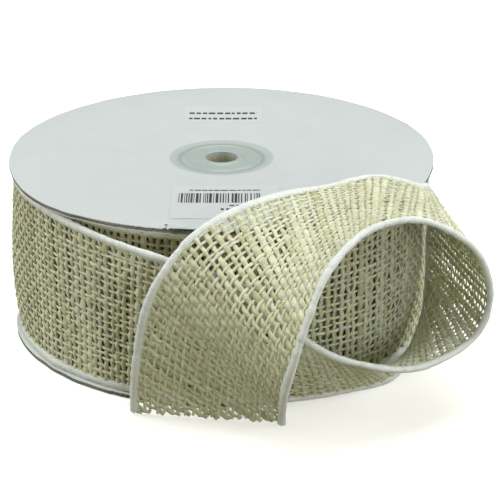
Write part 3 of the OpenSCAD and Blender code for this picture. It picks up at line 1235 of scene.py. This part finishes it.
@dataclass
class Flange:
    """One flange: a board disc with paper on both faces. Sizes are in millimetres."""

    finishes: Finishes
    top: bool
    rim: float = 80.0
    hole: float = 9.15
    paper: float = 0.25
    board: float = 1.2

    def build(self) -> list[bpy.types.Object]:
        """Makes the board and its two papers."""
        side = "top" if self.top else "bottom"
        f = self.finishes
        under = self.paper + self.board
        return [
            self._layer(f"{side}_flange_outer_face", 0.0, self.paper, f.face,
                        f"{side}_flange_outer_paper"),
            self._layer(f"{side}_flange_grey_board", self.paper, under, f.board,
                        f"{side}_flange_board", worn=0.18, droop=0.25),
            self._layer(f"{side}_flange_inner_face", under, under + self.paper, f.lit_lining,
                        f"{side}_flange_inner_paper", worn=0.18, droop=0.5),
        ]

    def _rings(self) -> tuple[np.ndarray, np.ndarray]:
        """Radii of the rings on a layer's outer side, and back along its inner side."""
        end = self.rim - 0.07
        out = [[self.hole], np.linspace(self.hole + 0.15, 16.4, 4), np.linspace(16.8, 21.6, 9),
               np.linspace(24, 66, 10), np.linspace(68, 73.5, 6), np.linspace(74.0, 79.7, 20),
               [end]]
        back = [end, 79.6, 76.0, 73.0, 71.0, 69.0, 60.0, 40.0, 24.0, 21.0, 18.0, 16.5, 12.0,
                self.hole]
        return np.concatenate(out), np.array(back)

    def _wear(self, a: np.ndarray, r: np.ndarray, droop: float) -> np.ndarray:
        """How far the used top flange lies under its plain shape at each point."""
        outer = np.clip((r - 74) / 6, 0, 1)
        if droop:
            down = outer * np.exp(-((a + 93) / 9) ** 2) * droop
        else:
            down = -Crease().height(a, r, self.rim)
        knock = np.exp(-((a - 24) / 1.2) ** 2) * np.clip((r - 77.5) / 2.4, 0, 1)
        wave = 0.12 * np.sin(np.radians(a * 3 + 40)) * outer
        return down + warp(a, r) - 0.35 * knock + wave

    def _layer(self, name: str, outside: float, inside: float, material: bpy.types.Material,
               node: str, worn: float = 0.10, droop: float = 0.0) -> bpy.types.Object:
        """Makes one layer between two depths below the flange's outer face.

        Args:
            name: The piece's name.
            outside: Depth of its outer side.
            inside: Depth of its inner side.
            material: Its finish.
            node: The CAD node that it stands for.
            worn: How ragged its rim is.
            droop: How far it hangs under the crack in the paper; 0 for that paper itself.

        Returns:
            The new object.
        """
        rng = np.random.default_rng(len(name) + 7 * self.top)
        azimuth = fine_angles()
        n = len(azimuth)
        out_r, in_r = self._rings()
        rows_r = np.concatenate([out_r, in_r])
        depth = np.concatenate([np.full(len(out_r), outside), np.full(len(in_r), inside)])
        r = np.repeat(rows_r[:, None], n, 1)
        a = np.repeat(azimuth[None], len(rows_r), 0)
        z = (sink(r - 1.2) + sink(r) * 2 + sink(r + 1.2)) / 4 + depth[:, None]
        ragged = smooth_noise(rng, n, 2.2) * worn
        r = r + np.clip((r - 78.5) / 1.4, 0, 1) * (ragged[None] - 0.12)
        if self.top:
            z = z + self._wear(a, r, droop)
        height = (SPOOL_H / 2 - z) if self.top else (z - SPOOL_H / 2)
        points = np.stack([r * np.cos(np.radians(a)), r * np.sin(np.radians(a)), height], -1) * MM
        faces = polar_faces(len(rows_r), n, True)
        if self.top:
            faces = faces[:, ::-1]
        piece = add_piece(name, points.reshape(-1, 3), [faces], Body.SPOOL, material)
        sharpen(piece, 40)
        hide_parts(node)
        return piece


def sharpen(piece: bpy.types.Object, degrees: float) -> None:
    """Keeps edges that turn by more than an angle crisp under smooth shading."""
    piece.data.set_sharp_from_angle(angle=math.radians(degrees))


@dataclass
class HubCap:
    """A moulded cap with a raised lip round its hole and a fine ring near its rim.

    Attributes:
        segments: Corners of its round.
        proud: How far it stands above its own profile, in millimetres.
    """

    finishes: Finishes
    top: bool
    segments: int = 144
    proud: float = 0.3

    def profile(self) -> np.ndarray:
        """Radius and depth below the flange's face, round the section, in millimetres."""
        lip = [(6.0, 3.4 + self.proud), (6.08, 2.33), (6.25, 2.23), (6.6, 2.20), (7.3, 2.20),
               (7.7, 2.22), (7.9, 2.30), (8.05, 2.43), (8.2, 2.53), (8.5, 2.58), (8.9, 2.60)]
        ring = [(10.0, 2.60), (11.8, 2.60), (13.1, 2.60), (13.35, 2.55), (13.55, 2.42),
                (13.75, 2.36), (13.95, 2.36), (14.15, 2.42), (14.35, 2.55), (14.5, 2.60)]
        rim = [(15.0, 2.62), (15.3, 2.68), (15.46, 2.85), (15.5, 3.1), (15.5, 3.39), (14.5, 3.4)]
        skirt = [(9.3, 3.4), (9.05, 3.5), (9.05, 10.9), (8.6, 11.0), (7.6, 11.0), (7.5, 10.8),
                 (7.5, 3.42), (7.3, 3.4), (6.2, 3.4)]
        return np.array(lip + ring + rim + skirt)

    def build(self) -> bpy.types.Object:
        """Turns the profile round the axis."""
        outline = self.profile()
        azimuth = np.radians(np.arange(self.segments) * 360 / self.segments)
        r = np.repeat(outline[:, 0][:, None], self.segments, 1)
        depth = np.repeat(outline[:, 1][:, None], self.segments, 1) - self.proud
        height = (SPOOL_H / 2 - depth) if self.top else (depth - SPOOL_H / 2)
        points = np.stack([r * np.cos(azimuth), r * np.sin(azimuth), height], -1) * MM
        faces = polar_faces(len(outline), self.segments, True)
        faces = faces[:, ::-1] if self.top else faces
        side = "top" if self.top else "bottom"
        piece = add_piece(f"{side}_moulded_cap", points.reshape(-1, 3), [faces], Body.SPOOL,
                          self.finishes.hub)
        sharpen(piece, 50)
        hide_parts(f"{side}_hub_cap")
        return piece


@dataclass
class Print:
    """Plain bars and dashes printed on the stickers. Sizes are in millimetres.

    Attributes:
        seed: Seed of its random draws.
        lift: How far the ink lies above the flange's paper.
        half: Half the length of the row of bars.
    """

    finishes: Finishes
    seed: int = 71
    lift: float = 0.16
    half: float = 14.7

    def _block(self, x0: float, x1: float, y0: float, y1: float) -> tuple[np.ndarray, np.ndarray]:
        """One inked block on the sloping face, as points and faces."""
        rows = max(2, int((y1 - y0) / 2.5) + 1)
        ys = np.linspace(y0, y1, rows)
        xs = np.array([x0, x1])
        grid = np.stack(np.meshgrid(xs, ys, indexing="xy"), -1).reshape(-1, 2)
        r = np.hypot(grid[:, 0], grid[:, 1])
        up = SPOOL_H / 2 - sink(r) + self.lift
        points = np.column_stack([grid, up])
        k = np.arange(rows - 1)
        faces = np.stack([2 * k, 2 * k + 1, 2 * k + 3, 2 * k + 2], axis=1)
        return points * MM, faces

    def _ink(self, name: str, blocks: list[tuple[float, float, float, float]]) -> bpy.types.Object:
        """Makes one piece of many blocks."""
        points, faces, count = [], [], 0
        for block in blocks:
            p, f = self._block(*block)
            points.append(p)
            faces.append(f + count)
            count += len(p)
        return add_piece(name, np.concatenate(points), [np.concatenate(faces)], Body.SPOOL,
                         self.finishes.ink, smooth=False)

    def _dashes(self, rng: np.random.Generator, x0: float, x1: float, y: float, tall: float,
                gap: float) -> list[tuple[float, float, float, float]]:
        """A row of plain dashes from x0 to x1."""
        blocks, x = [], x0
        while x < x1:
            wide = rng.uniform(1.0, 2.6)
            blocks.append((x, min(x + wide, x1), y, y + tall))
            x += wide + rng.uniform(0.5, 1.0) * gap
        return blocks

    def build(self) -> list[bpy.types.Object]:
        """Prints both stickers."""
        rng = np.random.default_rng(self.seed)
        bars, x = [], -self.half
        while x < self.half:
            wide = float(rng.choice([0.28, 0.45, 0.7, 0.95], p=[0.4, 0.3, 0.2, 0.1]))
            bars.append((x, x + wide, -52.0, -41.5))
            x += wide + float(rng.choice([0.35, 0.55, 0.9], p=[0.45, 0.35, 0.2]))
        rows = self._dashes(rng, -11.0, 15.0, -38.6, 1.0, 0.7)
        rows += self._dashes(rng, 3.5, 16.0, -55.6, 1.2, 0.7)
        rows += self._dashes(rng, 0.5, 16.0, -60.0, 1.9, 1.0)
        lines = self._dashes(rng, -13.5, 13.5, 41.6, 1.7, 0.9)
        lines += self._dashes(rng, -13.5, 13.5, 47.6, 1.7, 0.9)
        return [self._ink("sticker_bars", bars), self._ink("sticker_dashes", rows),
                self._ink("lot_dashes", lines)]


@dataclass
class Spool:
    """The paper spool: flanges, hub, stickers and what is inside."""

    finishes: Finishes

    def build(self) -> list[bpy.types.Object]:
        """Makes the flanges, caps and print, and dresses the parts that stay.

        Returns:
            The pieces.
        """
        f = self.finishes
        pieces = Flange(f, True).build() + Flange(f, False).build()
        pieces += [HubCap(f, True).build(), HubCap(f, False).build()]
        pieces += Print(f).build()
        dress({
            "bar_label": f.sticker, "lot_label": f.sticker, "core_tube": f.kraft,
            "spindle_sleeve": f.kraft, "start_tape": f.tape, "wound_roll": f.roll,
            "outer_turn_top_wire": f.wire, "outer_turn_bottom_wire": f.wire,
            "tail_near_wire": f.wire, "tail_far_wire": f.wire,
        })
        return pieces


def dress(materials: dict[str, bpy.types.Material]) -> None:
    """Gives CAD nodes that stay in view their finish."""
    for name, material in materials.items():
        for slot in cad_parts[name].material_slots:
            slot.material = material
        LOG.info("dressed %s", name)


# ---------------------------------------------------------------- studio


@dataclass(frozen=True)
class Lamp:
    """A soft square light that faces the spool.

    Attributes:
        name: The light's name.
        at: Where it hangs, in millimetres.
        size: Its side, in millimetres.
        power: Its power, in watts.
        colour: Its colour.
    """

    name: str
    at: tuple[float, float, float]
    size: float
    power: float
    colour: Colour = (1.0, 1.0, 1.0)

    def hang(self) -> None:
        """Adds the light to the scene."""
        data = bpy.data.lights.new(self.name, "AREA")
        data.size = self.size * MM
        data.energy = self.power
        data.color = self.colour
        lamp = bpy.data.objects.new(self.name, data)
        lamp.location = Vector(self.at) * MM
        lamp.rotation_euler = (-lamp.location).to_track_quat("-Z", "Y").to_euler()
        bpy.context.scene.collection.objects.link(lamp)


@dataclass
class Studio:
    """Floor, backdrop, soft lights and camera.

    Attributes:
        target: The point that the camera looks at, in millimetres.
        distance: How far the camera stands from it.
        elevation: How far down the camera looks, in degrees.
        lens: Its focal length, in millimetres.
        air: Colour of the light from all round, and glow its strength.
    """

    finishes: Finishes
    target: tuple[float, float, float] = (10.75, 0.0, 27.3 - SPOOL_H / 2)
    distance: float = 750.0
    elevation: float = 22.4
    lens: float = 139.9
    air: Colour = (1.0, 0.95, 0.55)
    glow: float = 0.20
    lamps: tuple[Lamp, ...] = (
        Lamp("key", (-60, -60, 870), 520, 3.3, (1.0, 1.0, 0.98)),
        Lamp("overhead", (160, 260, 820), 620, 2.4, (0.98, 1.0, 1.0)),
        Lamp("left_side", (-790, 30, 300), 450, 3.5),
        Lamp("front", (300, -830, 220), 200, 1.5),
        Lamp("front_right", (420, -720, 420), 340, 0.6),
        Lamp("right_side", (760, -120, 330), 380, 2.2),
    )

    def build(self) -> None:
        """Sets up the whole studio."""
        self._floor()
        self._backdrop()
        for lamp in self.lamps:
            lamp.hang()
        world = bpy.data.worlds.new("studio_air")
        world.use_nodes = True
        background = world.node_tree.nodes["Background"]
        background.inputs["Color"].default_value = (*self.air, 1.0)
        background.inputs["Strength"].default_value = self.glow
        bpy.context.scene.world = world
        bpy.context.scene.view_settings.view_transform = "Standard"
        self._camera()

    def _floor(self) -> None:
        """Lays the floor just under the spool."""
        half, z = 3.0, FLOOR_Z * MM - 0.00005
        corners = [(-half, -half, z), (half, -half, z), (half, half, z), (-half, half, z)]
        floor = self._scenery("floor", corners, [(0, 1, 2, 3)], self.finishes.floor)

    def _backdrop(self) -> None:
        """Stands a white wall all round, so that low views have a plain ground too."""
        radius, high, sides = 2.7, 3.0, 48
        angle = 2 * np.pi * np.arange(sides) / sides
        ring = np.stack([np.cos(angle), np.sin(angle)], axis=1) * radius
        low = np.column_stack([ring, np.full(sides, FLOOR_Z * MM)])
        top = np.column_stack([ring, np.full(sides, high)])
        walls = [(i, (i + 1) % sides, sides + (i + 1) % sides, sides + i) for i in range(sides)]
        wall = self._scenery("backdrop", np.concatenate([low, top]).tolist(), walls,
                             self.finishes.backdrop)
        wall.visible_glossy = False

    def _scenery(self, name: str, points: list[tuple[float, ...]], faces: list[tuple[int, ...]],
                 material: bpy.types.Material) -> bpy.types.Object:
        """Adds a piece of the studio that throws no light on the spool.

        Args:
            name: The object's name.
            points: Its points, in metres.
            faces: Its faces.
            material: Its finish.

        Returns:
            The new object.
        """
        mesh = bpy.data.meshes.new(name)
        mesh.from_pydata(points, [], faces)
        mesh.materials.append(material)
        scenery = bpy.data.objects.new(name, mesh)
        bpy.context.scene.collection.objects.link(scenery)
        scenery.visible_diffuse = False
        return scenery

    def _camera(self) -> None:
        """Places the camera in front, looking a little down."""
        data = bpy.data.cameras.new("camera")
        data.lens = self.lens
        data.sensor_width = 36.0
        data.clip_start = 0.01
        camera = bpy.data.objects.new("camera", data)
        rise = math.radians(self.elevation)
        back = Vector((0, -math.cos(rise), math.sin(rise))) * self.distance * MM
        target = Vector(self.target) * MM
        camera.location = target + back
        camera.rotation_euler = (-back).to_track_quat("-Z", "Y").to_euler()
        bpy.context.scene.collection.objects.link(camera)
        bpy.context.scene.camera = camera


def main() -> None:
    """Builds the spool and its ribbon, and sets the scene."""
    logging.basicConfig(level=logging.INFO, format="%(name)s: %(message)s")
    finishes = Finishes()
    Studio(finishes).build()
    pieces = Spool(finishes).build() + Ribbon(finishes).build()
    for piece in pieces:
        LOG.info("made %s, %d faces", piece.name, len(piece.data.polygons))


if __name__ == "__main__":
    main()
